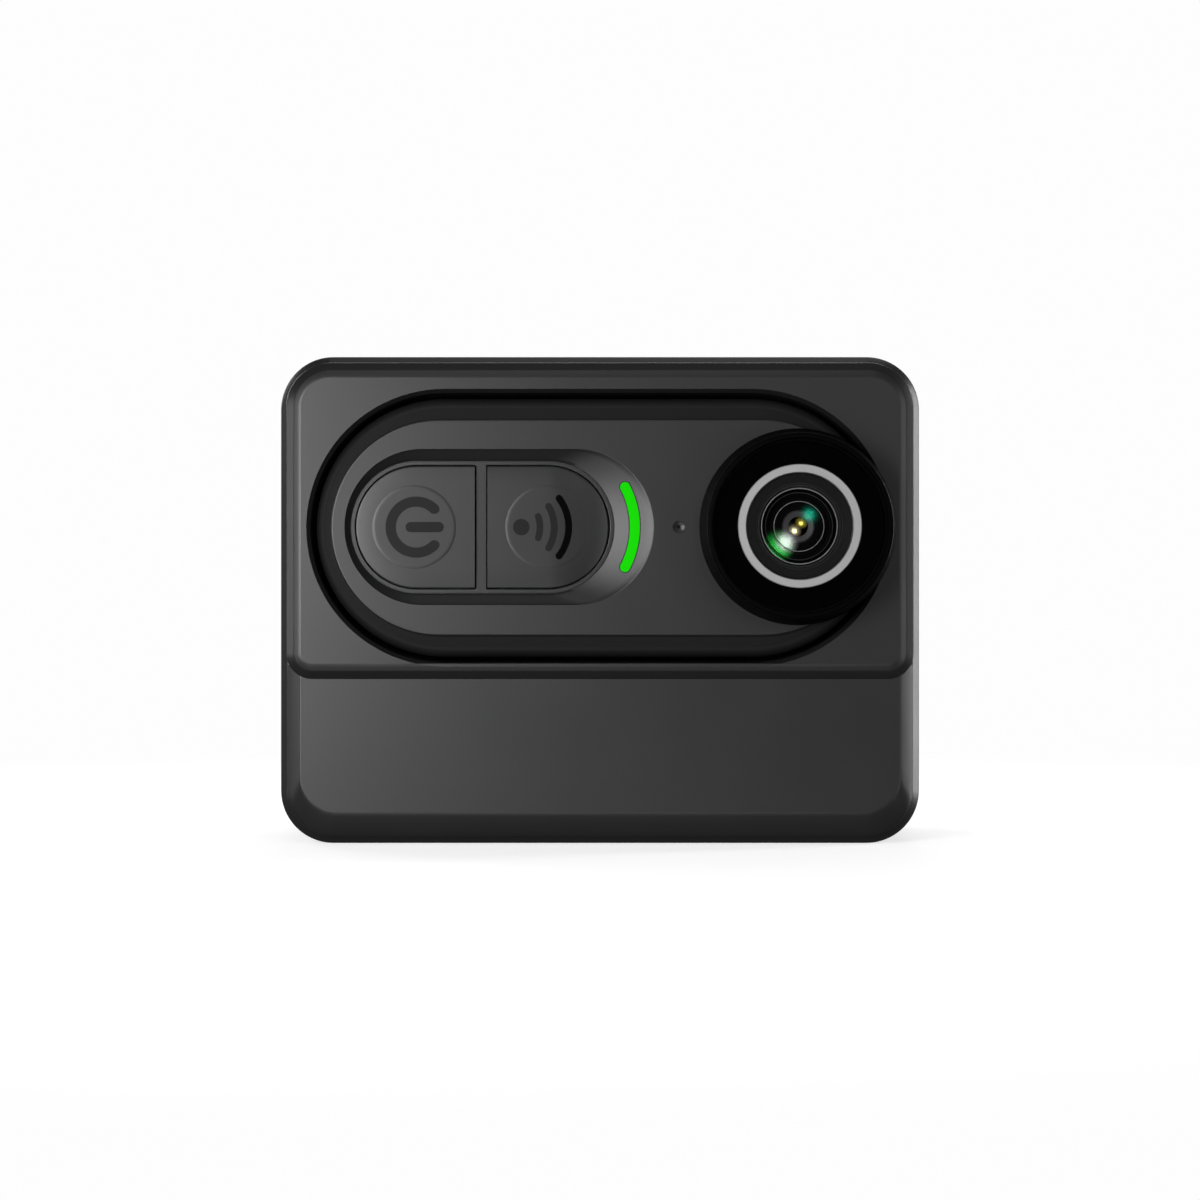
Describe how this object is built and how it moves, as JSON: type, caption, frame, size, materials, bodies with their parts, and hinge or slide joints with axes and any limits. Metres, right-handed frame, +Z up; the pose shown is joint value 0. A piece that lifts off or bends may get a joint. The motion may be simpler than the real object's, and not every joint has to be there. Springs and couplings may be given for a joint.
{
  "type": "action camera",
  "caption": "Pocket action camera: a pill-shaped camera with front keys, a lens and a status light, docked in a pod with a flip-up rear screen.",
  "frame": {"origin": "bottom centre of the whole object, on the surface it stands on", "axes": "+X right seen from the front, +Y towards the back (the lens faces -Y), +Z up"},
  "size_m": [0.0638, 0.0324, 0.0486],
  "materials": {
    "housing": "fine satin moulded plastic, dark graphite grey",
    "camera_shell": "smooth soft-touch plastic, dark graphite grey",
    "key": "smooth soft-touch plastic, dark graphite grey",
    "well": "matt black",
    "rubber": "matt black silicone",
    "lens_black": "satin black",
    "lens_gloss": "gloss black",
    "lens_trim": "satin metal ring",
    "clear_glass": "clear coated glass",
    "lens_glass": "coated lens glass",
    "screen_glass": "gloss black cover glass",
    "panel": "dark display panel",
    "status_light": "green translucent light guide",
    "brass": "turned",
    "gold": "gold plated",
    "contact_plastic": "matt black",
    "circuit_board": "solder mask",
    "sensor": "sensor cover glass",
    "steel": "plain",
    "screw": "black zinc",
    "battery": "laminated pouch",
    "magnet": "nickel plated"
  },
  "bodies": {
    "pod": {"main_housing": "housing", "front_cover": "housing", "front_gasket": "rubber", "well_liner": "well", "rear_cover": "housing", "rear_screw_1": "screw", "rear_screw_2": "screw", "rear_screw_3": "screw", "rear_screw_4": "screw", "tripod_insert": "brass", "pod_board": "circuit_board", "pod_battery": "battery", "record_switch": "steel", "side_switch": "steel", "pod_microphone": "steel", "pod_speaker": "steel", "usb_board": "circuit_board", "usb_receptacle": "steel", "dock_magnet_left": "magnet", "dock_magnet_right": "magnet", "contact_block": "contact_plastic", "door_pin": "steel", "hinge_knuckle": "housing", "hinge_pin": "steel"},
    "camera": {"camera_front": "camera_shell", "camera_gasket": "rubber", "camera_rear": "camera_shell", "contact_plate": "contact_plastic", "light_guide": "status_light", "power_switch": "steel", "wifi_switch": "steel", "key_board": "circuit_board", "camera_battery": "battery", "camera_board": "circuit_board", "camera_microphone": "steel", "camera_magnet_left": "magnet", "camera_magnet_right": "magnet", "sensor_board": "circuit_board", "image_sensor": "sensor", "lens_guard": "lens_black", "guard_glass": "clear_glass", "lens_barrel": "lens_black", "lens_mask": "lens_gloss", "lens_trim": "lens_trim", "lens_front_element": "lens_glass", "lens_iris": "lens_black", "lens_inner_element": "lens_glass", "lens_rear_element": "lens_glass"},
    "power_key": {"power_key": "key"},
    "wifi_key": {"wifi_key": "key"},
    "record_button": {"record_button": "key"},
    "side_key": {"side_key": "key"},
    "usb_door": {"usb_door": "housing", "usb_door_seal": "rubber"},
    "screen": {"screen_shell": "housing", "screen_glass": "screen_glass", "screen_panel": "panel", "screen_board": "circuit_board"},
    "contact_pins": {"contact_pins": "gold"}
  },
  "joints": [
    {"name": "camera_undock", "type": "slide", "parent": "pod", "child": "camera", "axis": [0, -1, 0], "range_m": [0, 0.03]},
    {"name": "power_press", "type": "slide", "parent": "camera", "child": "power_key", "axis": [0, 1, 0], "range_m": [0, 0.0003], "stiffness_N_per_m": 1500, "springref_m": -0.0003},
    {"name": "wifi_press", "type": "slide", "parent": "camera", "child": "wifi_key", "axis": [0, 1, 0], "range_m": [0, 0.0003], "stiffness_N_per_m": 1500, "springref_m": -0.0003},
    {"name": "record_press", "type": "slide", "parent": "pod", "child": "record_button", "axis": [0, 0, -1], "range_m": [0, 0.0004], "stiffness_N_per_m": 1500, "springref_m": -0.0003},
    {"name": "side_press", "type": "slide", "parent": "pod", "child": "side_key", "axis": [1, 0, 0], "range_m": [0, 0.0004], "stiffness_N_per_m": 1500, "springref_m": -0.0003},
    {"name": "port_door", "type": "hinge", "parent": "pod", "child": "usb_door", "pos_m": [0.03113, 0.0059, 0.0092], "axis": [0, 0, 1], "range_deg": [0, 95]},
    {"name": "screen_flip", "type": "hinge", "parent": "pod", "child": "screen", "pos_m": [0, 0.0133, 0.0453], "axis": [1, 0, 0], "range_deg": [0, 180]},
    {"name": "contact_press", "type": "slide", "parent": "pod", "child": "contact_pins", "axis": [0, 1, 0], "range_m": [0, 0.0004], "stiffness_N_per_m": 300, "springref_m": -0.0005}
  ]
}
